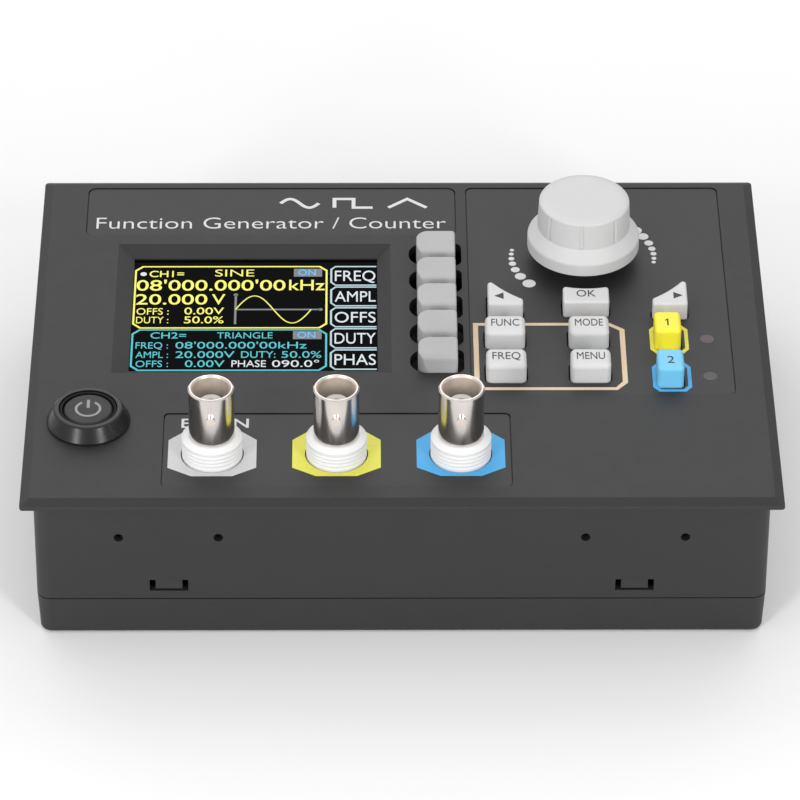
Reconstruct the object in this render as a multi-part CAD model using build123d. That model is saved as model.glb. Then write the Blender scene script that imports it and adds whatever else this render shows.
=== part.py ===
from build123d import *
import math
import os

# A bench function generator: a two-part plastic case with a flanged control panel, a colour display,
# five soft keys beside it, nine function keys, a rotary encoder knob, a latching power button and
# three BNC sockets. Inside are a front board with the key switches and a main board with the
# electronics. Millimetres, +Z up. X runs across the panel and the user sits on the -Y side. The
# origin is on the table, under the middle of the panel.

# ---------------------------------------------------------------- driving dimensions
PANEL_W, PANEL_D = 158.5, 118.8      # the flange's outline
PANEL_Z = 36.8                       # the panel's top face above the table
FLANGE_T = 1.8                       # thickness of the overhanging rim
FLANGE_R, EDGE_R = 0.8, 0.3          # the rim's corners, and its softened upper edge
CHAMFER_IN, CHAMFER_DROP = 2.0, 1.05
BODY_W, BODY_D, BODY_R = 153.3, 113.8, 3.0
WALL = 2.0
BASE_DRAFT = 3.0                     # degrees
PLATE_T = 2.2                        # the panel's thickness over the cavity
SEAM_Z = PANEL_Z - 27.0              # where the upper case meets the base cover
SEAM_GAP = 0.25
FOOT_PROUD = 0.3

# Depths below the panel's top face, used as PANEL_Z - depth.
FRONT_BOARD, MAIN_BOARD, BOARD_T = 11.0, 25.0, 1.6
DISPLAY_BOARD = 6.2
SWITCH_H, WELL_R, WELL_D = 3.5, 1.75, 1.5

# Labels are printed films that lie in shallow pockets. An area is centre x, centre y, width, depth.
POCKET_D, LABEL_T, LABEL_GAP = 0.55, 0.35, 0.25
LABELS = {
    # name: area, corner radius
    "title_label": ((-28.35, 46.6, 81.5, 18.0), 1.7),
    "control_label": ((43.05, 17.1, 55.9, 77.0), 1.3),
    "connector_label": ((-13.55, -40.85, 72.7, 24.9), 1.0),
}
LABEL_Z = PANEL_Z - POCKET_D + LABEL_T       # a label's top face

SCREEN = (-31.6, 10.05, 53.4, 41.7)          # the display's opening
SCREEN_RIM = (-31.9, 10.05, 59.9, 47.9)      # the outer edge of the bevel round it
BEZEL_DROP = 1.8
MODULE = (-31.6, 10.05, 61.6, 50.0)          # the display module behind it

# Keys. A cap is one piece with the plunger of its switch.
KEY_SKIRT = 4.5                              # how far a cap reaches below the panel's face
KEY_WALL = 1.1
STEM_R, STEM_END = 1.7, 8.4
KEY_GAP = 0.35
SOFTKEY_X, SOFTKEY_W, SOFTKEY_D, SOFTKEY_H = 7.95, 8.5, 7.9, 3.85
SOFTKEY_SLANT, SOFTKEY_ROLL = 0.75, 1.4      # how far the front leans back, and the radius above it
SOFTKEY_Y = [29.77 - 9.9 * n for n in range(5)]
SLOT_X, SLOT_W, SLOT_D, SLOT_SHIFT = 7.8, 11.6, 8.7, 0.15

KNOB = (40.3, 29.2)
KNOB_R, SKIRT_R = 9.85, 12.25
KNOB_BOTTOM, KNOB_TOP = 3.3, 15.5            # above the panel
KNOB_FOOT_R, KNOB_ROLL = 10.15, (2.05, 0.85) # the barrel's foot, and the width and height of its rolled edge
SKIRT_EDGE, SKIRT_H = 2.8, 5.4               # the skirt's height at its edge and at the barrel
SHAFT_R = 3.0
POWER = (-65.95, -31.0)
SOCKET_X = {"input": -39.65, "channel_1": -13.65, "channel_2": 12.35}
SOCKET_Y = -42.15
SOCKET_HOLE_R = 6.6
SOCKET_TOP = 17.1                            # above the panel
LED_X, LED_Y = 66.05, (-1.5, -15.0)

BRACKET_HOLE_X, BRACKET_HOLE_D, BRACKET_HOLE_R = (38.25, 59.05), 10.9, 1.0
SNAP_X, SNAP_W, SNAP_TOP, SNAP_BOTTOM, SNAP_GAP = 48.8, 8.1, 22.1, 25.0, 0.35
BOSSES = [(-66, 45), (8, 45), (68, 45), (68, -46), (32, -39), (-27, -23)]
SPACERS = [(-56, -5), (-54, 40), (60, 36), (61, -24)]
SCREW_R, HEAD_R, HEAD_H, BOSS_R = 1.3, 2.75, 2.0, 3.0
JACK_X, JACK_Z, USB_X, USB_Z = 40.0, PANEL_Z - 18.6, 20.0, PANEL_Z - 19.4
FEET = [(x, y) for x in (-64.0, 64.0) for y in (-46.0, 46.0)]
FIT = 0.02                                   # clearance of parts that are pressed or glued together


# ---------------------------------------------------------------- helpers
def save(name, *solids):
    """Writes one node; several solids become a group in it."""
    shape = solids[0] if len(solids) == 1 else Compound(children=list(solids))
    export_step(shape, f"parts/{name}.step")


def block(x0, x1, y0, y1, z0, z1):
    middle = ((x0 + x1) / 2, (y0 + y1) / 2, (z0 + z1) / 2)
    return Pos(*middle) * Box(x1 - x0, y1 - y0, z1 - z0)


def slab(area, radius, z0, z1, grow=0.0):
    """A rounded rectangular plate. area is centre x, centre y, width, depth."""
    x, y, w, d = area
    return extrude(Pos(x, y, z0) * RectangleRounded(w + 2 * grow, d + 2 * grow, radius), z1 - z0)


def rod(x, y, radius, z0, z1):
    return Pos(x, y, (z0 + z1) / 2) * Cylinder(radius, z1 - z0)


def rod_y(x, z, radius, y0, y1):
    return Pos(x, (y0 + y1) / 2, z) * Rot(90, 0, 0) * Cylinder(radius, y1 - y0)


def turned(x, y, profile):
    """A solid of revolution about a vertical axis, from (radius, height above the panel) points."""
    points = [(r, PANEL_Z + z) for r, z in profile]
    face = Plane.XZ * make_face(Polyline(*points, close=True))
    return Pos(x, y, 0) * revolve(face, Axis.Z, 360)


def rings(shape, radius, z, tolerance=0.02):
    """The circular edges of a turned shape at one radius and height above the panel."""
    return [
        e
        for e in shape.edges()
        if abs(e.center(CenterOf.BOUNDING_BOX).Z - PANEL_Z - z) < tolerance
        and abs(e.bounding_box().size.X / 2 - radius) < tolerance
    ]


def lifted(sketch, z):
    return Pos(0, 0, z) * sketch


def screw(x, y, seat_z, up, length):
    """A pan-head screw whose head rests on seat_z; up is +1 if its shank points upwards."""
    head = rod(x, y, HEAD_R, *sorted((seat_z, seat_z - up * HEAD_H)))
    shank = rod(x, y, SCREW_R - FIT, *sorted((seat_z, seat_z + up * length)))
    slot_z = seat_z - up * HEAD_H
    slot = Pos(x, y, slot_z) * Box(0.6, 3.0, 1.4) + Pos(x, y, slot_z) * Box(3.0, 0.6, 1.4)
    return head + shank - slot


# ---------------------------------------------------------------- key outlines, seen from above
def two_ended(x, y, w, d, left_radius, right_radius):
    """A rectangle with large corners at its left end and small ones at its right end."""
    plan = Pos(x, y) * Rectangle(w, d)
    plan = fillet(plan.vertices().filter_by(lambda v: v.X < x), left_radius)
    right = [v for v in plan.vertices() if v.X > x + w / 2 - 0.01]
    return fillet(right, right_radius)


def softkey_plan(y):
    return two_ended(SOFTKEY_X, y, SOFTKEY_W, SOFTKEY_D, 2.7, 0.8)


def block_plan(x, y, w, d, radius=1.25):
    return Pos(x, y) * RectangleRounded(w, d, radius)


def around_knob(x, width, front, radius, corner=0.7):
    """A key whose back edge follows a circle around the knob."""
    depth, centre = 12.0, (40.5, KNOB[1])
    plan = Pos(x, front + depth / 2) * Rectangle(width, depth) - Pos(*centre) * Circle(radius)
    return fillet(plan.vertices(), corner)


COLUMN_1, COLUMN_2, COLUMN_3 = 22.5, 40.5, 57.4
ROW_1, ROW_2, ROW_3 = -1.7, -13.8, -15.3
LEFT_X, RIGHT_X, OK_X = 22.8, 58.4, 40.3
LEFT_SWITCH, RIGHT_SWITCH, OK_SWITCH = (22.0, 8.8), (59.2, 8.8), (40.3, 9.4)
KEYS = {
    f"softkey_{n}": (softkey_plan(y), SOFTKEY_H, 0.45, (SOFTKEY_X, y))
    for n, y in enumerate(SOFTKEY_Y, 1)
}
KEYS |= {
    # name: outline, height above the panel, radius of the top edge, where its switch is
    "left_key": (around_knob(LEFT_X, 7.6, 6.0, 25.3), 3.8, 0.55, LEFT_SWITCH),
    "right_key": (around_knob(RIGHT_X, 7.6, 6.0, 25.3), 3.8, 0.55, RIGHT_SWITCH),
    "ok_key": (around_knob(OK_X, 9.95, 6.9, 17.0), 3.65, 0.55, OK_SWITCH),
    "function_key": (block_plan(COLUMN_1, ROW_1, 8.6, 6.6), 4.25, 1.15, (COLUMN_1, ROW_1)),
    "mode_key": (block_plan(COLUMN_2, ROW_1, 8.6, 6.6), 4.25, 1.15, (COLUMN_2, ROW_1)),
    "frequency_key": (block_plan(COLUMN_1, ROW_2, 8.6, 6.6), 4.25, 1.15, (COLUMN_1, ROW_2)),
    "menu_key": (block_plan(COLUMN_2, ROW_2, 8.6, 6.6), 4.25, 1.15, (COLUMN_2, ROW_2)),
    "channel_1_key": (block_plan(COLUMN_3, ROW_1, 5.7, 7.3, 1.0), 4.9, 0.9, (COLUMN_3, ROW_1)),
    "channel_2_key": (block_plan(COLUMN_3, ROW_3, 5.7, 7.3, 1.0), 4.9, 0.9, (COLUMN_3, ROW_3)),
}


def softkey_wedge(y):
    """The material that the leaning front of a soft key leaves away."""
    front, top = y - SOFTKEY_D / 2, PANEL_Z + SOFTKEY_H
    corner = (front + SOFTKEY_SLANT, top)
    outside = [(corner[0], top + 1), (front - 1, top + 1), (front - 1, PANEL_Z)]
    face = Plane.YZ * make_face(Polyline((front, PANEL_Z), corner, *outside, close=True))
    return Pos(SOFTKEY_X, 0, 0) * extrude(face, SOFTKEY_W, both=True)


def key_cap(name):
    plan, height, edge, switch = KEYS[name]
    bottom = PANEL_Z - KEY_SKIRT
    cap = extrude(lifted(plan, bottom), KEY_SKIRT + height)
    if name.startswith("softkey"):
        cap -= softkey_wedge(switch[1])
        top = cap.faces().sort_by(Axis.Z)[-1]
        cap = fillet(top.edges().sort_by(Axis.Y)[0], SOFTKEY_ROLL)
    cap = fillet(cap.faces().sort_by(Axis.Z)[-1].edges(), edge)
    inside = extrude(lifted(offset(plan, amount=-KEY_WALL), bottom), KEY_SKIRT + height - 2.0)
    return cap - inside + rod(*switch, STEM_R, PANEL_Z - STEM_END, PANEL_Z + height - 1.5)


def key_openings(z0, z1, names=None):
    """The holes that the caps pass through."""
    holes = []
    for name, (plan, *_) in KEYS.items():
        if names and not name.endswith(names):
            continue
        if name.startswith("softkey"):
            y = SOFTKEY_Y[int(name[-1]) - 1] + SLOT_SHIFT
            outline = two_ended(SLOT_X, y, SLOT_W, SLOT_D, 4.0, 2.0)
        else:
            outline = offset(plan, amount=KEY_GAP)
        holes.append(extrude(lifted(outline, z0), z1 - z0))
    return holes


# ---------------------------------------------------------------- case
def upper_case():
    top, shoulder = PANEL_Z, PANEL_Z - CHAMFER_DROP
    outer = RectangleRounded(PANEL_W, PANEL_D, FLANGE_R)
    inner = RectangleRounded(PANEL_W - 2 * CHAMFER_IN, PANEL_D - 2 * CHAMFER_IN, FLANGE_R)
    rim = extrude(lifted(outer, top - FLANGE_T), FLANGE_T - CHAMFER_DROP)
    rim += loft([lifted(outer, shoulder), lifted(inner, top)])
    rim = fillet(rim.edges().filter_by(lambda e: abs(e.center().Z - shoulder) < 0.01), EDGE_R)
    walls = slab((0, 0, BODY_W, BODY_D), BODY_R, SEAM_Z, top - FLANGE_T)
    cavity = slab((0, 0, BODY_W, BODY_D), BODY_R - WALL + 0.5, SEAM_Z - 1, top - PLATE_T, -WALL)
    case = rim + walls - cavity
    for x, y in BOSSES:
        case += rod(x, y, BOSS_R, top - FRONT_BOARD, top - PLATE_T)
    inner_y = BODY_D / 2 - WALL
    hole_z = top - BRACKET_HOLE_D
    for side in (-1, 1):
        for x in (-BRACKET_HOLE_X[1], -BRACKET_HOLE_X[0], *BRACKET_HOLE_X):
            case += rod_y(x, hole_z, 2.5, *sorted((side * (inner_y - 4), side * (inner_y + 1))))
    return case - case_openings()


def case_openings():
    """Everything that is cut out of the upper case."""
    top = PANEL_Z
    cuts = [slab(area, r + LABEL_GAP, top - POCKET_D, top + 1, LABEL_GAP) for area, r in LABELS.values()]
    x, y, w, d = SCREEN
    rim_x, rim_y, rim_w, rim_d = SCREEN_RIM
    bottom_edge = Pos(x, y, top - BEZEL_DROP) * Rectangle(w, d)
    cuts.append(loft([bottom_edge, Pos(rim_x, rim_y, top) * Rectangle(rim_w, rim_d)]))
    cuts.append(Pos(x, y, top - 2) * Box(w, d, 3))
    cuts += key_openings(top - 4, top + 1)
    cuts += [rod(x, SOCKET_Y, SOCKET_HOLE_R, top - 4, top + 1) for x in SOCKET_X.values()]
    cuts += [rod(*KNOB, 4.0, top - 4, top + 1), rod(*POWER, 6.1, top - 4, top + 1)]
    cuts += [rod(LED_X, y, 1.6, top - 4, top - 0.3) for y in LED_Y]
    cuts += [rod(x, y, SCREW_R, top - FRONT_BOARD - 1, top - 4) for x, y in BOSSES]
    wall_y = BODY_D / 2
    for side in (-1, 1):
        for x in (-BRACKET_HOLE_X[1], -BRACKET_HOLE_X[0], *BRACKET_HOLE_X):
            span = sorted((side * (wall_y - 5), side * (wall_y + 1)))
            cuts.append(rod_y(x, top - BRACKET_HOLE_D, BRACKET_HOLE_R, *span))
        for x in (-SNAP_X, SNAP_X):
            half, span = SNAP_W / 2, sorted((side * (wall_y - 3), side * (wall_y + 1)))
            cuts.append(block(x - half, x + half, *span, top - SNAP_BOTTOM, top - SNAP_TOP))
    cuts.append(rod_y(JACK_X, JACK_Z, 4.2, wall_y - 3, wall_y + 1))
    cuts.append(block(USB_X - 6.2, USB_X + 6.2, wall_y - 3, wall_y + 1, USB_Z - 5.7, USB_Z + 5.7))
    return cuts


def base_cover():
    seam, bottom = SEAM_Z - SEAM_GAP, FOOT_PROUD
    outside = RectangleRounded(BODY_W, BODY_D, BODY_R)
    hollow = RectangleRounded(BODY_W - 2 * WALL, BODY_D - 2 * WALL, 1.5)
    outer = extrude(lifted(outside, seam), bottom - seam, taper=BASE_DRAFT)
    outer = fillet(outer.faces().sort_by(Axis.Z)[0].edges(), 0.8)
    inner = extrude(lifted(hollow, seam), bottom + WALL - seam, taper=BASE_DRAFT)
    # The tongue that stands inside the upper case's walls, on a ledge of the base's own walls.
    inside = (0, 0, BODY_W - 2 * WALL, BODY_D - 2 * WALL)
    tongue = slab(inside, 1.4, seam, SEAM_Z + 1.6, -0.1) + slab(inside, 1.9, seam - 3, seam, 0.4)
    tongue -= slab(inside, 0.5, seam - 4, SEAM_Z + 3, -1.2)
    base = outer - inner + tongue
    for side in (-1, 1):
        for x in (-SNAP_X, SNAP_X):
            base += snap_arm(x, side)
    for x, y in FEET:
        base -= rod(x, y, 5.1, bottom - 1, bottom + 0.8)
    for x in (-30, 30):
        for n in range(9):
            base -= Pos(x, (n - 4) * 5.0, bottom) * extrude(SlotOverall(34, 1.8), 6, both=True)
    return base


def snap_arm(x, side):
    """A springy arm; its ramped hook shows in the case's window."""
    wall, half = BODY_D / 2, 2.8
    hook_top, hook_bottom = PANEL_Z - SNAP_TOP - SNAP_GAP, PANEL_Z - SNAP_BOTTOM + 0.5
    profile = [
        (wall - WALL - 1.4, SEAM_Z - 1.5),
        (wall - WALL - 0.1, SEAM_Z - 1.5),
        (wall - WALL - 0.1, hook_bottom),
        (wall - 0.15, hook_bottom),
        (wall - 0.45, hook_top),
        (wall - WALL - 0.1, hook_top),
        (wall - WALL - 0.1, hook_top + 1.0),
        (wall - WALL - 1.4, hook_top + 1.0),
    ]
    face = Plane.YZ * make_face(Polyline(*[(side * y, z) for y, z in profile], close=True))
    return Pos(x, 0, 0) * extrude(face, half, both=True)


def label(name, cuts):
    area, radius = LABELS[name]
    film = slab(area, radius, PANEL_Z - POCKET_D, LABEL_Z)
    for cut in cuts:
        film -= cut
    return film


# ---------------------------------------------------------------- display
def display_parts():
    x, y, w, d = MODULE
    top = PANEL_Z - 2.3
    glass_area = (x, y, w - 2.0, d - 2.0)
    glass = slab(glass_area, 0.5, top - 1.3, top)
    tray = slab(MODULE, 1.0, PANEL_Z - DISPLAY_BOARD, top - 0.3) - slab(
        glass_area, 0.5, top - 1.3, top, FIT
    )
    board = slab(MODULE, 1.0, PANEL_Z - DISPLAY_BOARD - BOARD_T, PANEL_Z - DISPLAY_BOARD)
    return {"display_glass": glass, "display_frame": tray, "display_board": board}


# ---------------------------------------------------------------- encoder and knob
def flat(radius, z0, z1):
    """The material that a D-shaped shaft lacks."""
    x, y = KNOB
    return block(x - radius, x + radius, y + 1.5, y + radius + 1, z0, z1)


def knob():
    x, y = KNOB
    bottom, top = PANEL_Z + KNOB_BOTTOM, PANEL_Z + KNOB_TOP
    roll_w, roll_h = KNOB_ROLL
    side = Polyline(
        (KNOB_R - roll_w, top),
        (0, top),
        (0, bottom),
        (SKIRT_R, bottom),
        (SKIRT_R, bottom + SKIRT_EDGE),
        (KNOB_FOOT_R, bottom + SKIRT_H),
        (KNOB_R, top - roll_h),
    )
    roll = EllipticalCenterArc((KNOB_R - roll_w, top - roll_h), roll_w, roll_h, 0, arc_size=90)
    shape = Pos(x, y, 0) * revolve(Plane.XZ * make_face([*side.edges(), roll]), Axis.Z, 360)
    shape = fillet(rings(shape, SKIRT_R, KNOB_BOTTOM + SKIRT_EDGE), 1.0)
    for n in range(8):
        turn = math.radians(45 * n - 94.5)
        gx, gy = x + 10.3 * math.cos(turn), y + 10.3 * math.sin(turn)
        shape -= rod(gx, gy, 0.6, PANEL_Z + 8.9, PANEL_Z + KNOB_TOP - 0.7)
    hollow = turned(x, y, [(4.6, 3), (8.6, 3), (8.4, 13.4), (4.6, 13.4)])
    bore_top = PANEL_Z + 12.9
    bore = rod(x, y, SHAFT_R + FIT, PANEL_Z + 3, bore_top) - flat(SHAFT_R + 1, PANEL_Z + 4, bore_top + 1)
    return shape - hollow - bore


def encoder_parts():
    x, y = KNOB
    top = PANEL_Z
    shaft = rod(x, y, SHAFT_R, top - 9.0, top + 12.8) - flat(SHAFT_R + 1, top + 3.9, top + 13)
    body = slab((x, y, 12.4, 13.4), 0.5, top - FRONT_BOARD, top - 4.4)
    body += rod(x, y, 3.5, top - 4.4, top + 2.8)
    body -= rod(x, y, SHAFT_R + 0.05, top - 9.2, top + 3)
    washer = rod(x, y, 6.0, LABEL_Z, LABEL_Z + 0.4) - rod(x, y, 3.5 + FIT, top - 1, top + 1)
    nut = extrude(Pos(x, y, LABEL_Z + 0.4) * RegularPolygon(5.0, 6, major_radius=False), 2.0)
    nut -= rod(x, y, 3.5 + FIT, top - 1, top + 4)
    return {
        "encoder_shaft": shaft,
        "encoder_body": body,
        "encoder_washer": washer,
        "encoder_nut": nut,
    }


# ---------------------------------------------------------------- power button
def power_parts():
    x, y = POWER
    bezel = turned(
        x,
        y,
        [(8.8, 0), (8.8, 0.5), (7.35, 3.35), (7.0, 3.6), (6.2, 3.6), (6.2, 1.2), (5.3, 1.2)]
        + [(5.3, -12.0), (5.95, -12.0), (5.95, 0)],
    )
    ring = turned(x, y, [(5.32, 1.2), (6.18, 1.2), (6.18, 3.1), (5.95, 3.35), (5.55, 3.35), (5.32, 3.1)])
    cap = turned(x, y, [(0, -6.0), (5.15, -6.0), (5.15, 3.0), (4.85, 3.3), (0, 3.3)])
    cap += rod(x, y, 1.9, PANEL_Z - 12.6, PANEL_Z - 6.0)
    switch = rod(x, y, 5.95, PANEL_Z - 21.0, PANEL_Z - 12.0)
    switch += rod(x, y, 5.28, PANEL_Z - 12.0, PANEL_Z - 11.0)
    switch -= rod(x, y, 1.95, PANEL_Z - 14.6, PANEL_Z - 10.0)
    nut = extrude(Pos(x, y, PANEL_Z - PLATE_T - 2.5) * RegularPolygon(7.0, 6, major_radius=False), 2.5)
    nut -= rod(x, y, 5.95 + FIT, PANEL_Z - 6, PANEL_Z)
    return {
        "power_bezel": bezel,
        "power_ring": ring,
        "power_cap": cap,
        "power_switch": switch,
        "power_nut": nut,
    }


def power_leads():
    """Two wires from the power switch to its connector on the main board."""
    x, y = POWER
    wires = []
    for shift in (-1.0, 1.0):
        z = PANEL_Z - MAIN_BOARD + 1.7
        points = [
            (x + shift, y, PANEL_Z - 21.0),
            (x + shift, y, z),
            (x + shift, -20 - shift, z),
            (-60, -20 - shift, z),
        ]
        path = FilletPolyline(*points, radius=[1.0, 2.5])
        section = Plane(origin=points[0], z_dir=(0, 0, -1)) * Circle(0.6)
        wires.append(sweep(section, path=path))
    return wires


# ---------------------------------------------------------------- BNC sockets
def socket_parts(x):
    y, top = SOCKET_Y, PANEL_Z
    outer, bore, core = 4.8, 4.05, 2.45
    shell = turned(
        x,
        y,
        [(core + FIT, -5.0), (outer, -5.0), (outer, SOCKET_TOP - 0.3), (outer - 0.3, SOCKET_TOP)]
        + [(bore + 0.25, SOCKET_TOP), (bore, SOCKET_TOP - 0.4), (bore, -4.0), (core + FIT, -4.0)],
    )
    lug_z = top + 12.1
    shell += rod_y(x, lug_z, 0.975, y - 5.5, y - bore - 0.2)
    shell += rod_y(x, lug_z, 0.975, y + bore + 0.2, y + 5.5)
    # Annular grooves stand in for the half-inch, 28 turns-per-inch thread.
    thread_r, root_r, pitch, rim_r, body_top = 6.35, 6.0, 0.907, 5.35, 5.2
    profile = [(outer + FIT, -2.2), (thread_r, -2.2)]
    for n in range(4):
        z = 0.3 + pitch * n
        profile += [(thread_r, z), (root_r, z + 0.35), (thread_r, z + 0.7)]
    profile += [(thread_r, body_top - 0.9), (rim_r, body_top), (outer + FIT, body_top)]
    body = turned(x, y, profile)
    block_top, block_bottom = top - PLATE_T, top - FRONT_BOARD
    body += slab((x, y, 14.6, 14.6), 0.8, block_bottom, block_top) - rod(
        x, y, outer + FIT, top - 5.0, top
    )
    body -= rod(x, y, 1.05 + FIT, block_bottom - 1, top)
    insulator = rod(x, y, core, top - 5.0, top + 13.5) - rod(x, y, 1.05 + FIT, top - 6, top + 14)
    contact = rod(x, y, 1.05, top - 13.6, top + 13.2) - rod(x, y, 0.55, top + 6, top + 14)
    return {"shell": shell, "body": body, "insulator": insulator, "contact": contact}


# ---------------------------------------------------------------- boards and what is on them
def tact_switch(x, y):
    bottom = PANEL_Z - FRONT_BOARD
    switch = slab((x, y, 6.0, 6.0), 0.4, bottom, bottom + SWITCH_H)
    return switch - rod(x, y, WELL_R, bottom + SWITCH_H - WELL_D, bottom + SWITCH_H + 1)


def indicator_led(y):
    top = PANEL_Z - 0.6
    lamp = turned(LED_X, y, [(0, -6), (1.75, -6), (1.75, -5), (1.5, -5), (1.5, -0.9), (1.2, -0.6), (0, -0.6)])
    for shift in (-1.0, 1.0):
        lamp += rod(LED_X + shift, y, 0.25, PANEL_Z - FRONT_BOARD, top - 5.0)
    return lamp


def board(x0, x1, y0, y1, depth, holes):
    plate = block(x0, x1, y0, y1, PANEL_Z - depth - BOARD_T, PANEL_Z - depth)
    for x, y, radius in holes:
        plate -= rod(x, y, radius, PANEL_Z - depth - 3, PANEL_Z - depth + 1)
    return plate


def front_board():
    holes = [(x, y, SCREW_R + 0.3) for x, y in BOSSES + SPACERS]
    holes += [(x, SOCKET_Y, 1.2) for x in SOCKET_X.values()]
    plate = board(-72, 72, -49.8, 49.8, FRONT_BOARD, holes)
    corner = block(-80, -56, -60, -21, PANEL_Z - FRONT_BOARD - 3, PANEL_Z - FRONT_BOARD + 1)
    return plate - corner


def board_screws():
    under_front = PANEL_Z - FRONT_BOARD - BOARD_T
    under_main = PANEL_Z - MAIN_BOARD - BOARD_T
    screws = [screw(x, y, under_front, 1, 6.0) for x, y in BOSSES]
    screws += [screw(x, y, PANEL_Z - FRONT_BOARD, -1, 6.0) for x, y in SPACERS]
    screws += [screw(x, y, under_main, 1, 6.0) for x, y in SPACERS]
    return screws


def board_spacers():
    spacers = []
    for x, y in SPACERS:
        low, high = PANEL_Z - MAIN_BOARD, PANEL_Z - FRONT_BOARD - BOARD_T
        hexagon = extrude(Pos(x, y, low) * RegularPolygon(2.75, 6, major_radius=False), high - low)
        spacers.append(hexagon - rod(x, y, SCREW_R, low - 1, high + 1))
    return spacers


def main_board_parts():
    top = PANEL_Z - MAIN_BOARD
    holes = [(x, y, SCREW_R + 0.3) for x, y in SPACERS]
    chips = [(0, 12, 14, 14, 1.4), (-26, 12, 10, 10, 1.4), (22, 16, 7, 7, 1.2), (40, 14, 5, 6, 1.6)]
    chips += [(-44 + 9 * n, -12, 5, 4, 1.5) for n in range(5)]
    logic = [block(x - w / 2, x + w / 2, y - d / 2, y + d / 2, top, top + h) for x, y, w, d, h in chips]
    relays = [slab((8 + 13 * n, -8, 9.0, 14.0), 0.4, top, top + 8.5) for n in range(3)]
    cans = []
    for n in range(6):
        x, y = -50 + 10 * n, 40.0 if n % 2 else 30.0
        base = slab((x, y, 6.8, 6.8), 0.4, top, top + 0.9)
        cans.append(base + rod(x, y, 3.1, top + 0.9, top + 7.4))
    return {
        "main_board": [board(-62, 67, -28, 52.8, MAIN_BOARD, holes)],
        "logic_chips": logic,
        "signal_relays": relays,
        "filter_capacitors": cans,
    }


def pin_headers():
    display = block(-51, -12, 31.5, 34.0, PANEL_Z - FRONT_BOARD, PANEL_Z - DISPLAY_BOARD - BOARD_T)
    between = block(10, 50, -22.5, -17.5, PANEL_Z - MAIN_BOARD, PANEL_Z - FRONT_BOARD - BOARD_T)
    power = block(-60, -54, -23, -17, PANEL_Z - MAIN_BOARD, PANEL_Z - MAIN_BOARD + 5)
    return [display, between, power]


def rear_sockets():
    """The low-voltage power jack and the USB socket, at the main board's back edge."""
    top, inner = PANEL_Z - MAIN_BOARD, BODY_D / 2 - WALL - 0.1
    jack = block(JACK_X - 4.5, JACK_X + 4.5, inner - 14.4, inner, top, top + 11)
    jack -= rod_y(JACK_X, JACK_Z, 3.2, inner - 9.5, inner + 1)
    pin = rod_y(JACK_X, JACK_Z, 1.0, inner - 9.5, inner - 0.6)
    back, mouth = inner - 14.0, BODY_D / 2 - 0.5
    shell = block(USB_X - 6, USB_X + 6, back, mouth, top, top + 11)
    shell -= block(USB_X - 4.3, USB_X + 4.3, back + 6, mouth + 1, USB_Z - 3.95, USB_Z + 3.95)
    tongue = block(USB_X - 2.8, USB_X + 2.8, back + 6, mouth - 1.0, USB_Z - 1.6, USB_Z + 1.6)
    return {"power_jack": jack, "power_jack_pin": pin, "usb_socket": shell, "usb_tongue": tongue}


# ---------------------------------------------------------------- export
def main():
    os.makedirs("parts", exist_ok=True)
    z0, z1 = PANEL_Z - 2, PANEL_Z + 2
    save("upper_case", upper_case())
    save("base_cover", base_cover())
    label_cuts = {
        "title_label": [],
        "control_label": key_openings(z0, z1, "_key") + [rod(*KNOB, 3.8, z0, z1)],
        "connector_label": [rod(x, SOCKET_Y, SOCKET_HOLE_R, z0, z1) for x in SOCKET_X.values()],
    }
    for name, cuts in label_cuts.items():
        save(name, label(name, cuts))
    save("rubber_feet", *[rod(x, y, 5.0, 0, FOOT_PROUD + 0.8) for x, y in FEET])
    for name in KEYS:
        save(name, key_cap(name))
    save("knob", knob())
    for name, x in SOCKET_X.items():
        for piece, shape in socket_parts(x).items():
            save(f"{name}_socket_{piece}", shape)
    singles = display_parts() | encoder_parts() | power_parts() | rear_sockets()
    for name, shape in singles.items():
        save(name, shape)
    save("power_leads", *power_leads())
    save("front_board", front_board())
    save("tact_switches", *[tact_switch(*switch) for *_, switch in KEYS.values()])
    save("indicator_leds", *[indicator_led(y) for y in LED_Y])
    save("board_screws", *board_screws())
    save("board_spacers", *board_spacers())
    save("pin_headers", *pin_headers())
    for name, solids in main_board_parts().items():
        save(name, *solids)


main()
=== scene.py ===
"""The function generator's looks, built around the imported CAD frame.

Sizes are in millimetres and become metres when a mesh is made. Printed marks lie on the labels and keys
as thin closed pieces, and places come from the CAD nodes that they belong to.
"""
import math

import bmesh
import bpy
from mathutils import Matrix, Vector


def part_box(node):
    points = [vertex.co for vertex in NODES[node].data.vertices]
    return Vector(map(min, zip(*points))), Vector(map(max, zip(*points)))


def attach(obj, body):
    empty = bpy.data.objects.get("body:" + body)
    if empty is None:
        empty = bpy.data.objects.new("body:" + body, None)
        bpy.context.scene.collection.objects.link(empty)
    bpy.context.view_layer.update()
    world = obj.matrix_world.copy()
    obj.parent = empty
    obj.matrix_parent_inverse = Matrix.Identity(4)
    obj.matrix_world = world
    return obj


MM = 0.001
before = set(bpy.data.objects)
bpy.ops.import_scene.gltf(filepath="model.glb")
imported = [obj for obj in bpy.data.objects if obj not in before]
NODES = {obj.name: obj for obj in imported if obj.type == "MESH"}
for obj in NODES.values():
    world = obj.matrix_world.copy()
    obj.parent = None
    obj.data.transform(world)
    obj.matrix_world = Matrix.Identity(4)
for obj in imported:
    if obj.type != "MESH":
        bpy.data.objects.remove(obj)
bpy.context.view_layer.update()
SOCKETS = ("input", "channel_1", "channel_2")
SOFTKEYS = [f"softkey_{n}" for n in range(1, 6)]


# ---------------------------------------------------------------- places, in millimetres
def low(node):
    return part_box(node)[0] / MM


def high(node):
    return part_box(node)[1] / MM


def middle(node):
    return (low(node) + high(node)) / 2


INK = 0.03                                # thickness of a printed mark
FONT_SIZE, CAP_HEIGHT = 10.0, 6.9         # of the built-in font, before a line of text is scaled


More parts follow.
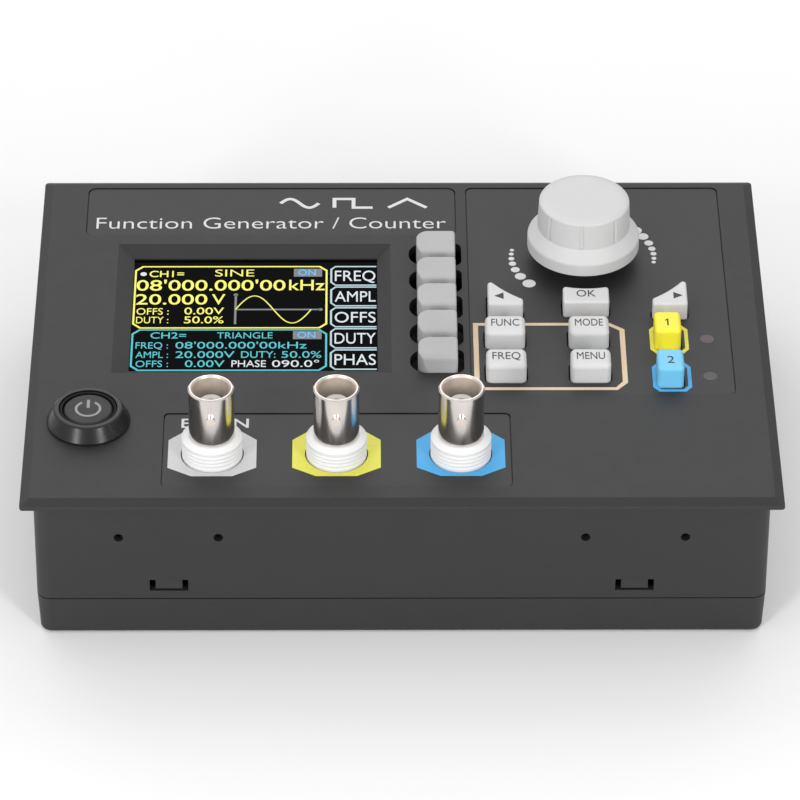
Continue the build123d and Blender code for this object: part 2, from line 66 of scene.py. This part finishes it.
# ---------------------------------------------------------------- materials
def material(name, colour, roughness, metallic=0.0, specular=0.5):
    made = bpy.data.materials.new(name)
    made.use_nodes = True
    made.diffuse_color = (*colour, 1)
    shader = made.node_tree.nodes["Principled BSDF"]
    shader.inputs["Base Color"].default_value = (*colour, 1)
    shader.inputs["Roughness"].default_value = roughness
    shader.inputs["Metallic"].default_value = metallic
    shader.inputs["Specular IOR Level"].default_value = specular
    return made


def noise(made, grain_mm, detail=2.0, stretch=(1, 1, 1)):
    """A noise texture in object space, whose features are about grain_mm across."""
    tree = made.node_tree
    place = tree.nodes.new("ShaderNodeTexCoord")
    scale = tree.nodes.new("ShaderNodeMapping")
    scale.inputs["Scale"].default_value = stretch
    texture = tree.nodes.new("ShaderNodeTexNoise")
    texture.inputs["Scale"].default_value = 1.0 / (grain_mm * MM)
    texture.inputs["Detail"].default_value = detail
    tree.links.new(place.outputs["Object"], scale.inputs["Vector"])
    tree.links.new(scale.outputs["Vector"], texture.inputs["Vector"])
    return texture.outputs["Fac"]


def spread(made, factor, low_value, high_value):
    """Maps a noise's middle range to values between two limits."""
    tree = made.node_tree
    ramp = tree.nodes.new("ShaderNodeMapRange")
    ramp.inputs["From Min"].default_value = 0.3
    ramp.inputs["From Max"].default_value = 0.7
    ramp.inputs["To Min"].default_value = low_value
    ramp.inputs["To Max"].default_value = high_value
    tree.links.new(factor, ramp.inputs["Value"])
    return ramp.outputs["Result"]


def bump(made, factor, height_mm):
    """Raises the surface by the factor, without changing its mesh."""
    tree = made.node_tree
    node = tree.nodes.new("ShaderNodeBump")
    node.inputs["Distance"].default_value = height_mm * MM
    node.inputs["Strength"].default_value = 1.0
    tree.links.new(factor, node.inputs["Height"])
    tree.links.new(node.outputs["Normal"], tree.nodes["Principled BSDF"].inputs["Normal"])


def vary(made, socket, factor, low_value, high_value):
    """Lets a number of the shader change with the factor."""
    tree = made.node_tree
    value = spread(made, factor, low_value, high_value)
    tree.links.new(value, tree.nodes["Principled BSDF"].inputs[socket])


def tint(made, colour, factor, amount):
    """Mixes the colour's darker and lighter versions by the factor."""
    tree = made.node_tree
    mix = tree.nodes.new("ShaderNodeMix")
    mix.data_type = "RGBA"
    mix.inputs["A"].default_value = (*[c * (1 - amount) for c in colour], 1)
    mix.inputs["B"].default_value = (*[min(1, c * (1 + amount)) for c in colour], 1)
    tree.links.new(spread(made, factor, 0.0, 1.0), mix.inputs["Factor"])
    tree.links.new(mix.outputs["Result"], tree.nodes["Principled BSDF"].inputs["Base Color"])


def moulded(name, colour, roughness, grain_mm=0.35, height_mm=0.02, amount=0.06, sheen=0.05, specular=0.5):
    """A moulded plastic: a fine grain, and slow changes of colour and sheen."""
    made = material(name, colour, roughness, specular=specular)
    tint(made, colour, noise(made, 9.0, 3.0), amount)
    vary(made, "Roughness", noise(made, 4.0, 3.0), roughness - sheen, roughness + sheen)
    bump(made, noise(made, grain_mm, 4.0), height_mm)
    return made


def metal(name, colour, roughness, stretch=(1, 1, 1), grain_mm=0.6, height_mm=0.004, metallic=1.0):
    """A metal with a fine grain. stretch draws its marks out along an axis where it is under 1."""
    made = material(name, colour, roughness, metallic)
    tint(made, colour, noise(made, 3.0, 2.0), 0.05)
    vary(made, "Roughness", noise(made, 1.5, 3.0, stretch), roughness * 0.7, roughness * 1.3)
    bump(made, noise(made, grain_mm, 2.0, stretch), height_mm)
    return made


def lit(name, colour, strength):
    """A pixel colour of the display, bright with a little unevenness."""
    made = material(name, [c * 0.1 for c in colour], 0.3)
    shader = made.node_tree.nodes["Principled BSDF"]
    shader.inputs["Emission Color"].default_value = (*colour, 1)
    vary(made, "Emission Strength", noise(made, 0.5, 1.0), strength * 0.9, strength * 1.1)
    return made


def ink(name, colour, roughness=0.6):
    """A screen-printed colour."""
    made = material(name, colour, roughness)
    tint(made, colour, noise(made, 0.5, 2.0), 0.04)
    bump(made, noise(made, 0.25, 2.0), 0.004)
    return made


def cover_glass(name, colour, roughness):
    """The display's cover: black, smooth, and coated against reflections."""
    made = material(name, colour, roughness, specular=0.01)
    vary(made, "Roughness", noise(made, 12.0, 3.0), roughness - 0.02, roughness + 0.04)
    return made


DRAWN = (1, 1, 0.08)                      # marks drawn out along Z

CASE = moulded("case_plastic", (0.018, 0.018, 0.019), 0.52, 0.30, 0.040, 0.04, 0.015, 0.45)
FILM = moulded("label_film", (0.021, 0.021, 0.022), 0.50, 0.22, 0.008, 0.03, 0.010, 0.45)
RUBBER = moulded("foot_rubber", (0.012, 0.012, 0.012), 0.85, 0.5, 0.03)
GLASS = cover_glass("display_cover", (0.0015, 0.0015, 0.002), 0.12)
TRAY = moulded("display_tray", (0.55, 0.55, 0.55), 0.5)
# The boards' solder mask is coloured near black as painted shade, so the holes under the soft keys look
# dark.
SHADE_DARK_BOARD = moulded("solder_mask_painted_shade", (0.010, 0.011, 0.010), 0.40, 0.8, 0.02, 0.12)
SOFTKEY = moulded("softkey_plastic", (0.41, 0.41, 0.41), 0.48, 0.35, 0.012, 0.03)
KEY = moulded("key_plastic", (0.62, 0.62, 0.625), 0.46, 0.35, 0.010, 0.02)
YELLOW_KEY = moulded("yellow_key_plastic", (0.91, 0.79, 0.038), 0.42, 0.35, 0.010, 0.02)
BLUE_KEY = moulded("blue_key_plastic", (0.175, 0.56, 0.85), 0.42, 0.35, 0.010, 0.03)
KNOB = moulded("knob_plastic", (0.58, 0.58, 0.58), 0.45, 0.4, 0.012, 0.02)
STEEL = metal("plated_steel", (0.62, 0.62, 0.60), 0.30)
ZINC = metal("zinc_casting", (0.50, 0.50, 0.48), 0.45, grain_mm=0.3, height_mm=0.02)
BEZEL = moulded("satin_black", (0.010, 0.010, 0.010), 0.28, 0.30, 0.006, 0.1, specular=0.4)
RING = moulded("gloss_black", (0.003, 0.003, 0.003), 0.12, 0.5, 0.002, 0.1, specular=0.08)
CAP = moulded("dark_cap_plastic", (0.020, 0.020, 0.021), 0.50, 0.25, 0.010, specular=0.4)
BLACK = moulded("black_plastic", (0.012, 0.012, 0.012), 0.5, 0.4, 0.01, 0.1)
WHITE = moulded("white_plastic", (0.76, 0.76, 0.758), 0.42, 0.5, 0.008, 0.01)
LEAD = moulded("lead_sleeve", (0.45, 0.01, 0.01), 0.4)
NICKEL = metal("nickel_plate", (0.74, 0.69, 0.66), 0.18, DRAWN, 0.5, 0.002)
BORE = metal("unpolished_nickel", (0.74, 0.65, 0.57), 0.42, DRAWN, 0.5, 0.004, 0.6)
BRASS = metal("contact_plate", (0.80, 0.58, 0.28), 0.25)
LENS = moulded("led_lens", (0.42, 0.38, 0.38), 0.25, 0.8, 0.002, 0.05)
CHIP = moulded("chip_package", (0.012, 0.012, 0.013), 0.55, 0.15, 0.01)
RELAY = moulded("relay_cover", (0.70, 0.70, 0.66), 0.35)
CAN = metal("capacitor_can", (0.75, 0.75, 0.76), 0.3)

PAINT = ink("light_grey_print", (0.66, 0.66, 0.66))
DARK_PRINT = ink("dark_grey_print", (0.038, 0.038, 0.042))
OCTAGON = {
    "input": ink("pale_grey_print", (0.58, 0.58, 0.585)),
    "channel_1": ink("yellow_print", (0.72, 0.70, 0.09)),
    "channel_2": ink("blue_print", (0.07, 0.39, 0.74)),
}
TAN = ink("tan_print", (0.72, 0.56, 0.38))
SYMBOL = ink("grey_print", (0.28, 0.28, 0.28))
PINK_WINDOW = ink("pink_window", (0.090, 0.068, 0.068), 0.5)
GREY_WINDOW = ink("grey_window", (0.066, 0.066, 0.066), 0.5)

UI_YELLOW = lit("lit_yellow", (0.90, 0.87, 0.10), 0.95)
UI_CYAN = lit("lit_cyan", (0.02, 0.50, 0.56), 0.9)
UI_BLUE = lit("lit_blue", (0.06, 0.40, 0.85), 1.0)
UI_PALE = lit("lit_pale", (0.45, 0.62, 0.68), 0.9)
UI_WHITE = lit("lit_white", (0.68, 0.74, 0.78), 0.9)
UI_GREY = lit("lit_grey", (0.15, 0.155, 0.16), 0.9)

FINISHES = {
    CASE: ["upper_case", "base_cover"],
    FILM: ["title_label", "control_label", "connector_label"],
    RUBBER: ["rubber_feet"],
    GLASS: ["display_glass"],
    TRAY: ["display_frame"],
    SHADE_DARK_BOARD: ["display_board", "front_board", "main_board"],
    SOFTKEY: SOFTKEYS,
    KEY: ["left_key", "right_key", "ok_key", "function_key", "mode_key", "frequency_key", "menu_key"],
    YELLOW_KEY: ["channel_1_key"],
    BLUE_KEY: ["channel_2_key"],
    KNOB: ["knob"],
    STEEL: ["encoder_shaft", "encoder_washer", "encoder_nut", "board_screws", "usb_socket", "power_nut"],
    ZINC: ["encoder_body", "power_jack_pin"],
    BEZEL: ["power_bezel"],
    RING: ["power_ring"],
    CAP: ["power_cap"],
    BLACK: ["power_switch", "power_jack", "tact_switches", "pin_headers"],
    WHITE: ["usb_tongue"] + [f"{s}_socket_{part}" for s in SOCKETS for part in ("body", "insulator")],
    LEAD: ["power_leads"],
    NICKEL: [f"{s}_socket_shell" for s in SOCKETS],
    BRASS: ["board_spacers"] + [f"{s}_socket_contact" for s in SOCKETS],
    LENS: ["indicator_leds"],
    CHIP: ["logic_chips"],
    RELAY: ["signal_relays"],
    CAN: ["filter_capacitors"],
}


def finish_nodes():
    for made, names in FINISHES.items():
        for name in names:
            NODES[name].data.materials.clear()
            NODES[name].data.materials.append(made)


# ---------------------------------------------------------------- meshes
def as_mesh(thing):
    """Turns a curve or text object into a mesh and deletes it."""
    bpy.context.scene.collection.objects.link(thing)
    bpy.context.view_layer.update()
    depsgraph = bpy.context.evaluated_depsgraph_get()
    mesh = bpy.data.meshes.new_from_object(thing.evaluated_get(depsgraph))
    bpy.data.objects.remove(thing)
    return mesh


def piece(name, mesh, made, body):
    """Shows a mesh as a named piece that rides on a body."""
    mesh.materials.clear()
    mesh.materials.append(made)
    thing = bpy.data.objects.new(name, mesh)
    bpy.context.scene.collection.objects.link(thing)
    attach(thing, body)


def closed(shape, name):
    """Turns a bmesh into a mesh whose faces all look outwards."""
    bmesh.ops.recalc_face_normals(shape, faces=shape.faces)
    mesh = bpy.data.meshes.new(name)
    shape.to_mesh(mesh)
    shape.free()
    return mesh


def joined(meshes):
    whole = bmesh.new()
    for mesh in meshes:
        whole.from_mesh(mesh)
    bmesh.ops.remove_doubles(whole, verts=whole.verts, dist=1e-7)
    return closed(whole, "joined")


def filled(outlines, z):
    """A mark printed on level z from its outlines. An outline inside another one is a hole."""
    curve = bpy.data.curves.new("outline", "CURVE")
    curve.dimensions = "2D"
    curve.fill_mode = "BOTH"
    curve.extrude = INK / 2 * MM
    for outline in outlines:
        spline = curve.splines.new("POLY")
        spline.points.add(len(outline) - 1)
        for point, (x, y) in zip(spline.points, outline):
            point.co = (x * MM, y * MM, 0, 1)
        spline.use_cyclic_u = True
    mesh = as_mesh(bpy.data.objects.new("outline", curve))
    mesh.transform(Matrix.Translation((0, 0, (z + INK / 2) * MM)))
    return mesh


def words(text, x, y, z, height, width, align="LEFT", bold=0.0):
    """A printed line of text, width across, whose capitals are height tall."""
    font = bpy.data.curves.new("text", "FONT")
    font.body = text
    font.extrude = INK / 2 * MM
    font.size = FONT_SIZE * MM
    font.offset = bold * MM
    font.resolution_u = 4
    mesh = as_mesh(bpy.data.objects.new("text", font))
    xs = [v.co.x for v in mesh.vertices]
    left, right = min(xs), max(xs)
    start = {"LEFT": left, "CENTER": (left + right) / 2}[align]
    grow = (width * MM / (right - left), height / CAP_HEIGHT, 1, 1)
    mesh.transform(Matrix.Translation((-start, 0, 0)))
    mesh.transform(Matrix.Diagonal(grow))
    mesh.transform(Matrix.Translation((x * MM, y * MM, (z + INK / 2) * MM)))
    return mesh


def turned(profile, x, y, steps=128):
    """A closed mesh of revolution. profile goes round the section as (radius, z)."""
    shape = bmesh.new()
    loops = []
    for n in range(steps):
        angle = 2 * math.pi * n / steps
        spots = [(x + r * math.cos(angle), y + r * math.sin(angle), z) for r, z in profile]
        loops.append([shape.verts.new([c * MM for c in spot]) for spot in spots])
    count = len(profile)
    for here, there in zip(loops, loops[1:] + loops[:1]):
        for i in range(count):
            j = (i + 1) % count
            shape.faces.new((here[i], there[i], there[j], here[j]))
    return closed(shape, "turned")


# ---------------------------------------------------------------- outlines
def arc(x, y, r, start, end, steps):
    """Points on a circle from one angle to another, in degrees."""
    turns = [math.radians(start + (end - start) * n / steps) for n in range(steps + 1)]
    return [(x + r * math.cos(t), y + r * math.sin(t)) for t in turns]


def circle(x, y, r, steps=64):
    return arc(x, y, r, 0, 360, steps)[:-1]


def cut_box(x0, x1, y0, y1, cut_x, cut_y):
    """A rectangle whose four corners are cut off."""
    front = [(x0, y0 + cut_y), (x0 + cut_x, y0), (x1 - cut_x, y0), (x1, y0 + cut_y)]
    back = [(x1, y1 - cut_y), (x1 - cut_x, y1), (x0 + cut_x, y1), (x0, y1 - cut_y)]
    return front + back


def right_cut_box(x0, x1, y0, y1, front_cut, back_cut):
    """A rectangle whose two right corners are cut off. Each cut is (along X, along Y)."""
    front = [(x0, y0), (x1 - front_cut[0], y0), (x1, y0 + front_cut[1])]
    back = [(x1, y1 - back_cut[1]), (x1 - back_cut[0], y1), (x0, y1)]
    return front + back


def sine(x, y, length, height, steps):
    """One period of a sine wave from x, y. height is from its middle to its top."""
    shares = [n / steps for n in range(steps + 1)]
    return [(x + length * t, y + height * math.sin(2 * math.pi * t)) for t in shares]


def stroke(points, width):
    """The outline of a line of even width through the points, with mitred corners."""
    spots = [Vector(point) for point in points]
    runs = [(there - here).normalized() for here, there in zip(spots, spots[1:])]
    left, right = [], []
    for spot, before, after in zip(spots, runs[:1] + runs, runs + runs[-1:]):
        along = (before + after).normalized()
        reach = width / 2 / along.dot(before)
        side = Vector((-along.y, along.x)) * reach
        left.append(tuple(spot + side))
        right.append(tuple(spot - side))
    return left + right[::-1]


# ---------------------------------------------------------------- printed marks
def title_print():
    """The name of the instrument, with a sine, a square and a triangle wave over it."""
    front, (_, back, z) = low("title_label").y, high("title_label")
    centre = middle("title_label").x
    name = words("Function Generator / Counter", centre, front + 2.6, z, 4.3, 77.5, "CENTER", -0.08)
    line, length, pitch, half = 0.85, 8.5, 12.0, 1.7
    start, level = centre + 2.0, back - 5.6
    bottom, top = level - half, level + half
    x = start + pitch
    square = [(x, bottom), (x, top), (x + length / 2, top), (x + length / 2, bottom), (x + length, bottom)]
    x = start + 2 * pitch
    triangle = [(x, bottom), (x + length / 2, top), (x + length, bottom)]
    waves = (sine(start, level, length, half, 32), square, triangle)
    marks = [filled([stroke(wave, line)], z) for wave in waves]
    piece("title_print", joined([name] + marks), PAINT, "case")


def socket_print():
    """The octagons under the sockets, and the word behind the first one."""
    z = high("connector_label").z
    hole, half_w, side = 6.6, 9.25, 4.75
    front, front_flat = 7.65, 4.3
    back, back_flat = 9.0, 4.6
    right = [(front_flat, -front), (half_w, -side), (half_w, side), (back_flat, back)]
    left = [(-dx, dy) for dx, dy in reversed(right)]
    for name in SOCKETS:
        x, y, _ = middle(f"{name}_socket_shell")
        outline = [(x + dx, y + dy) for dx, dy in right + left]
        mesh = filled([outline, circle(x, y, hole)], z)
        piece(f"{name}_octagon", mesh, OCTAGON[name], "case")
    first = middle("input_socket_shell")
    text = words("EXT.IN", first.x + 0.4, first.y + 9.1, z, 3.1, 14.2, "CENTER", 0.12)
    piece("input_word", text, PAINT, "case")


def key_frame():
    """The line round the four function keys, with two corners cut off."""
    front_left, back_right = middle("frequency_key"), middle("mode_key")
    x0, x1 = front_left.x - 6.8, back_right.x + 7.9
    y0, y1 = front_left.y - 6.1, back_right.y + 6.1
    band_x, band_y = 1.1, 0.95
    outer = right_cut_box(x0, x1, y0, y1, (2.3, 2.6), (3.2, 2.4))
    inner = right_cut_box(x0 + band_x, x1 - band_x, y0 + band_y, y1 - band_y, (1.5, 2.05), (2.4, 1.85))
    piece("key_frame", filled([outer, inner], high("control_label").z), TAN, "case")


def channel_rings():
    """The lines round the two channel keys, each a little to the right of its key."""
    half_w, half_d, band = 4.15, 5.2, 0.8
    for name in ("channel_1", "channel_2"):
        key = middle(f"{name}_key")
        x, y = key.x + 0.45, key.y
        ring = cut_box(x - half_w, x + half_w, y - half_d, y + half_d, 1.3, 1.6)
        in_w, in_d = half_w - band, half_d - band
        hole = cut_box(x - in_w, x + in_w, y - in_d, y + in_d, 1.0, 1.25)
        mesh = filled([ring, hole], high("control_label").z)
        piece(f"{name}_ring", mesh, OCTAGON[name], "case")


def lamp_windows():
    """The clear spots of the film over the two lamps."""
    lamp_r, window_r = 1.75, 1.5
    x = middle("indicator_leds").x
    ends = (high("indicator_leds").y - lamp_r, low("indicator_leds").y + lamp_r)
    for n, (y, made) in enumerate(zip(ends, (PINK_WINDOW, GREY_WINDOW)), 1):
        mesh = filled([circle(x, y, window_r)], high("control_label").z)
        piece(f"lamp_window_{n}", mesh, made, "case")


def level_dots():
    """Two rows of dots round the knob that grow as they go round."""
    knob = middle("knob")
    radius = 15.7
    sizes = (1.45, 1.22, 0.98, 0.8, 0.66, 0.55, 0.48)
    left = (-140, -152, -162, -170.5, -177.5, -184, -189.5)
    right = (40, 29.7, 19.6, 11.3, 4.3, -2.1, -7.4)
    dots = []
    for angle, size in zip(left + right, sizes * 2):
        turn = math.radians(angle)
        dots.append(circle(knob.x + radius * math.cos(turn), knob.y + radius * math.sin(turn), size, 32))
    piece("level_dots", filled(dots, high("control_label").z), PAINT, "case")


def digit_one(x, y, height):
    """A plain figure one: a bar with a short flag."""
    half, reach, slope, flag = 0.17, 0.55, 0.45, 0.38
    top = y + height
    return [
        (x + half, y),
        (x + half, top),
        (x - half * 0.4, top),
        (x - reach, top - slope),
        (x - reach, top - slope - flag),
        (x - half, top - slope - 0.02),
        (x - half, y),
    ]


def key_print():
    """The legends on the keys; each rides on its own key."""
    # text, height, width, and its distance from the key's back edge
    legends = {
        "function_key": ("FUNC", 2.5, 6.0, 1.8),
        "mode_key": ("MODE", 2.5, 6.0, 1.8),
        "frequency_key": ("FREQ", 2.5, 6.0, 1.8),
        "menu_key": ("MENU", 2.5, 6.0, 1.8),
        "ok_key": ("OK", 2.4, 4.15, 1.5),
        "channel_1_key": ("1", 2.5, 1.0, 3.0),
        "channel_2_key": ("2", 2.5, 1.5, 3.0),
    }
    for key, (text, height, width, from_back) in legends.items():
        centre, z = middle(key), high(key).z
        base = high(key).y - from_back - height
        if text == "1":
            mesh = filled([digit_one(centre.x, base, height)], z)
        else:
            mesh = words(text, centre.x, base, z, height, width, "CENTER")
        piece(f"{key}_legend", mesh, DARK_PRINT, key)
    reach, half = 1.0, 1.2
    for key, side, shift in (("left_key", -1, 1.4), ("right_key", 1, 1.8)):
        centre, z = middle(key), high(key).z
        x, y = centre.x + side * shift, centre.y - 1.2
        arrow = [(x + side * reach, y), (x - side * reach, y + half), (x - side * reach, y - half)]
        piece(f"{key}_legend", filled([arrow], z), DARK_PRINT, key)


def power_print():
    """The standby symbol on the power cap."""
    x, y, _ = middle("power_cap")
    outer, inner, gap = 2.8, 2.25, 32
    half, bar_front, bar_back = 0.32, 0.3, 3.1
    ring = arc(x, y, outer, 90 + gap, 450 - gap, 40) + arc(x, y, inner, 450 - gap, 90 + gap, 40)
    bar = stroke([(x, y + bar_front), (x, y + bar_back)], 2 * half)
    mesh = filled([ring, bar], high("power_cap").z)
    piece("standby_symbol", mesh, SYMBOL, "power_button")


def socket_bores():
    """The inside of each barrel and the ends of its lugs, plated but not polished."""
    outer, inner, depth = 4.04, 3.98, 5.6
    mouth_outer, mouth_inner, mouth_depth = 4.25, 4.18, 0.04
    flare = 0.42
    lug_drop, lug_reach, lug_r = 5.0, 5.5, 0.82
    for name in SOCKETS:
        x, y, _ = middle(f"{name}_socket_shell")
        top = high(f"{name}_socket_shell").z
        section = [
            (outer, top - depth),
            (outer, top - flare),
            (mouth_outer, top - mouth_depth),
            (mouth_inner, top - mouth_depth),
            (inner, top - flare - 0.02),
            (inner, top - depth),
        ]
        piece(f"{name}_bore", turned(section, x, y), BORE, "case")
        for place, end in (("front", y - lug_reach), ("rear", y + lug_reach + INK)):
            disc = filled([circle(0, 0, lug_r, 40)], 0)
            disc.transform(Matrix.Rotation(math.radians(90), 4, "X"))
            disc.transform(Matrix.Translation((x * MM, end * MM, (top - lug_drop) * MM)))
            piece(f"{name}_{place}_lug_end", disc, BORE, "case")


# ---------------------------------------------------------------- what the display shows
# Places in the picture are from the middle of the glass.
SCREEN_X, SCREEN_Y, _ = middle("display_glass")
SCREEN_Z = high("display_glass").z
LEFT, MENU, RIGHT = -26.5, 16.4, 26.5        # the picture's sides, and the left side of its menu
TOP, SPLIT, BOTTOM = 18.7, -4.8, -20.1       # its back and front, and the line between the channels
ROWS = (-12.0, -15.4, -18.7)                 # the feet of the second channel's lines of text
BORDER = 0.42
WAVE_X, WAVE_Y, WAVE_LENGTH = -4.2, 2.35, 16.5


def at(outline):
    return [(SCREEN_X + x, SCREEN_Y + y) for x, y in outline]


def panel(y0, y1):
    """The border of one channel's part of the picture."""
    x0, x1, cut = LEFT, MENU - 0.6, 1.6
    outer = cut_box(x0, x1, y0, y1, cut, cut)
    cut -= 0.15
    inner = cut_box(x0 + BORDER, x1 - BORDER, y0 + BORDER, y1 - BORDER, cut, cut)
    return filled([at(outer), at(inner)], SCREEN_Z)


def say(text, x, y, height, width, bold=0.0, align="LEFT", z=SCREEN_Z):
    return words(text, SCREEN_X + x, SCREEN_Y + y, z, height, width, align, bold)


def show(name, meshes, made):
    piece(name, joined(meshes), made, "case")


def first_channel():
    wave = stroke(sine(WAVE_X, WAVE_Y, WAVE_LENGTH, 5.05, 48), 0.28)
    yellow = [
        panel(SPLIT + 0.15, TOP),
        say("CH1=", -23.3, 14.6, 2.3, 7.6, 0.08),
        say("SINE", -8.9, 14.8, 2.6, 8.6, -0.05),
        say("08'000.000'00", -26.0, 9.5, 3.9, 32.6, 0.06),
        say("kHz", 7.4, 9.6, 3.9, 7.8, 0.04),
        say("20.000", -26.0, 4.3, 3.8, 15.6, 0.06),
        say("V", -9.4, 4.3, 3.8, 2.9, 0.04),
        say("OFFS :", -25.7, 0.5, 2.4, 7.0),
        say("0.00V", -15.3, 0.6, 2.5, 8.6, 0.03),
        say("DUTY :", -25.7, -2.7, 2.4, 7.0),
        say("50.0%", -15.3, -2.7, 2.5, 8.6, 0.03),
        filled([at(wave)], SCREEN_Z + INK),
    ]
    show("display_yellow", yellow, UI_YELLOW)


def second_channel():
    cyan = [
        panel(BOTTOM, SPLIT - 0.15),
        say("CH2=", -22.4, -8.3, 2.2, 7.7, 0.05),
        say("TRIANGLE", -8.0, -8.3, 2.2, 12.0),
        say("FREQ :", -25.5, ROWS[0], 2.3, 7.0),
        say("AMPL :", -25.4, ROWS[1], 2.3, 7.0),
        say("OFFS :", -25.3, ROWS[2], 2.3, 7.0),
        say("08'000.000'00kHz", -16.9, ROWS[0], 2.4, 28.3),
        say("20.000V", -16.8, ROWS[1], 2.4, 12.7, 0.02),
        say("DUTY:", -2.7, ROWS[1], 2.4, 7.4, 0.02),
        say("50.0%", 6.0, ROWS[1], 2.4, 8.6),
        say("0.00V", -14.7, ROWS[2], 2.4, 8.5, 0.02),
    ]
    show("display_cyan", cyan, UI_CYAN)


def menu_and_phase():
    """The five names beside the soft keys, and the other white parts of the picture."""
    white = [
        say("PHASE", -4.7, ROWS[2], 2.4, 7.4),
        say("090.0\u00b0", 4.0, ROWS[2], 2.4, 10.1),
        filled([at(circle(-24.6, 15.7, 0.7, 24))], SCREEN_Z),
    ]
    pale = []
    names = ("FREQ", "AMPL", "OFFS", "DUTY", "PHAS")
    cell, gap, cut, ease = (TOP - BOTTOM) / len(names), 0.3, 1.2, 0.2
    x0, x1 = MENU, RIGHT
    for n, text in enumerate(names):
        y1 = TOP - n * cell
        y0 = y1 - cell + gap
        inside = [(x1, y0), (x1, y0 + BORDER), (x0 + cut, y0 + BORDER), (x0 + BORDER, y0 + cut + ease)]
        inside += [(x0 + BORDER, y1 - cut - ease), (x0 + cut, y1 - BORDER), (x1, y1 - BORDER), (x1, y1)]
        outside = [(x0 + cut - 0.1, y1), (x0, y1 - cut), (x0, y0 + cut), (x0 + cut - 0.1, y0)]
        pale.append(filled([at(inside + outside)], SCREEN_Z))
        white.append(say(text, x0 + 1.0, y0 + 1.8, 3.9, 8.9))
    show("display_pale", pale, UI_PALE)
    show("display_white", white, UI_WHITE)


def switches_and_axes():
    """The word on its box beside each channel's name, and the axes of the drawn wave."""
    grey, blue = [], []
    x0, x1, box_h = 8.4, 14.6, 2.95
    for y in (14.7, -8.6):
        box = [(x0, y), (x1, y), (x1, y + box_h), (x0, y + box_h)]
        grey.append(filled([at(box)], SCREEN_Z))
        blue.append(say("ON", 11.3, y + 0.4, 2.2, 3.9, 0.10, "CENTER", SCREEN_Z + INK))
    axis, front, back, end = 0.5, WAVE_Y - 5.4, WAVE_Y + 5.5, WAVE_X + WAVE_LENGTH + 2.0
    for start, stop in (((WAVE_X, front), (WAVE_X, back)), ((WAVE_X, WAVE_Y), (end, WAVE_Y))):
        grey.append(filled([at(stroke([start, stop], axis))], SCREEN_Z))
    for x, y in ((WAVE_X, back), (end, WAVE_Y)):
        grey.append(filled([at(circle(x, y, 0.5, 16))], SCREEN_Z))
    show("display_grey", grey, UI_GREY)
    show("display_blue", blue, UI_BLUE)


# ---------------------------------------------------------------- stage, in metres
def sky():
    """A white room, darker near the horizon than overhead, and darker on the right than on the left."""
    world = bpy.data.worlds.new("studio")
    world.use_nodes = True
    tree = world.node_tree
    background = tree.nodes["Background"]
    background.inputs["Color"].default_value = (1, 1, 1, 1)
    place = tree.nodes.new("ShaderNodeTexCoord")
    slope = tree.nodes.new("ShaderNodeVectorMath")
    slope.operation = "DOT_PRODUCT"
    slope.inputs[1].default_value = (-0.3, 0, 1)
    climb = tree.nodes.new("ShaderNodeMapRange")
    climb.inputs["From Max"].default_value = 0.6
    climb.inputs["To Min"].default_value = 0.30
    climb.inputs["To Max"].default_value = 0.86
    tree.links.new(place.outputs["Generated"], slope.inputs[0])
    tree.links.new(slope.outputs["Value"], climb.inputs["Value"])
    tree.links.new(climb.outputs["Result"], background.inputs["Strength"])
    bpy.context.scene.world = world


def softbox(name, place, size, power):
    """A rectangular lamp that faces the middle of the object."""
    data = bpy.data.lights.new(name, "AREA")
    data.shape = "RECTANGLE"
    data.size, data.size_y = size
    data.energy = power
    lamp = bpy.data.objects.new(name, data)
    bpy.context.scene.collection.objects.link(lamp)
    lamp.location = place
    aim = Vector((0, 0, 0.02)) - Vector(place)
    lamp.rotation_euler = aim.to_track_quat("-Z", "Y").to_euler()


def stage():
    sky()
    bpy.context.scene.view_settings.view_transform = "Standard"
    bpy.ops.mesh.primitive_plane_add(size=12, location=(0, 0, 0))
    floor = bpy.context.object
    floor.name = "floor"
    floor.data.materials.append(material("floor_paper", (0.88, 0.88, 0.88), 0.8))
    softbox("back_box", (0, 1.3, 1.1), (2.2, 1.2), 8)
    softbox("left_box", (-0.8, -1.23, 0.6), (0.25, 1.0), 9.5)
    softbox("right_box", (0.8, -1.23, 0.6), (0.25, 1.0), 9.5)


def camera():
    """A long lens from the front, well above the panel, with a slight roll."""
    elevation, yaw, roll = (math.radians(angle) for angle in (36.74, -0.56, 0.27))
    distance = 1.1742
    aim = Vector((0.00015, 0.01655, 0.0068))
    flat = math.cos(elevation)
    back = Vector((math.sin(yaw) * flat, -math.cos(yaw) * flat, math.sin(elevation)))
    data = bpy.data.cameras.new("camera")
    data.sensor_width = 36
    data.lens = 238.6
    data.clip_start = 0.05
    thing = bpy.data.objects.new("camera", data)
    bpy.context.scene.collection.objects.link(thing)
    turn = (-back).to_track_quat("-Z", "Y").to_matrix() @ Matrix.Rotation(roll, 3, "Z")
    thing.matrix_world = Matrix.Translation(aim + back * distance) @ turn.to_4x4()
    bpy.context.scene.camera = thing


finish_nodes()
title_print()
socket_print()
key_frame()
channel_rings()
lamp_windows()
level_dots()
key_print()
power_print()
socket_bores()
first_channel()
second_channel()
menu_and_phase()
switches_and_axes()
stage()
camera()
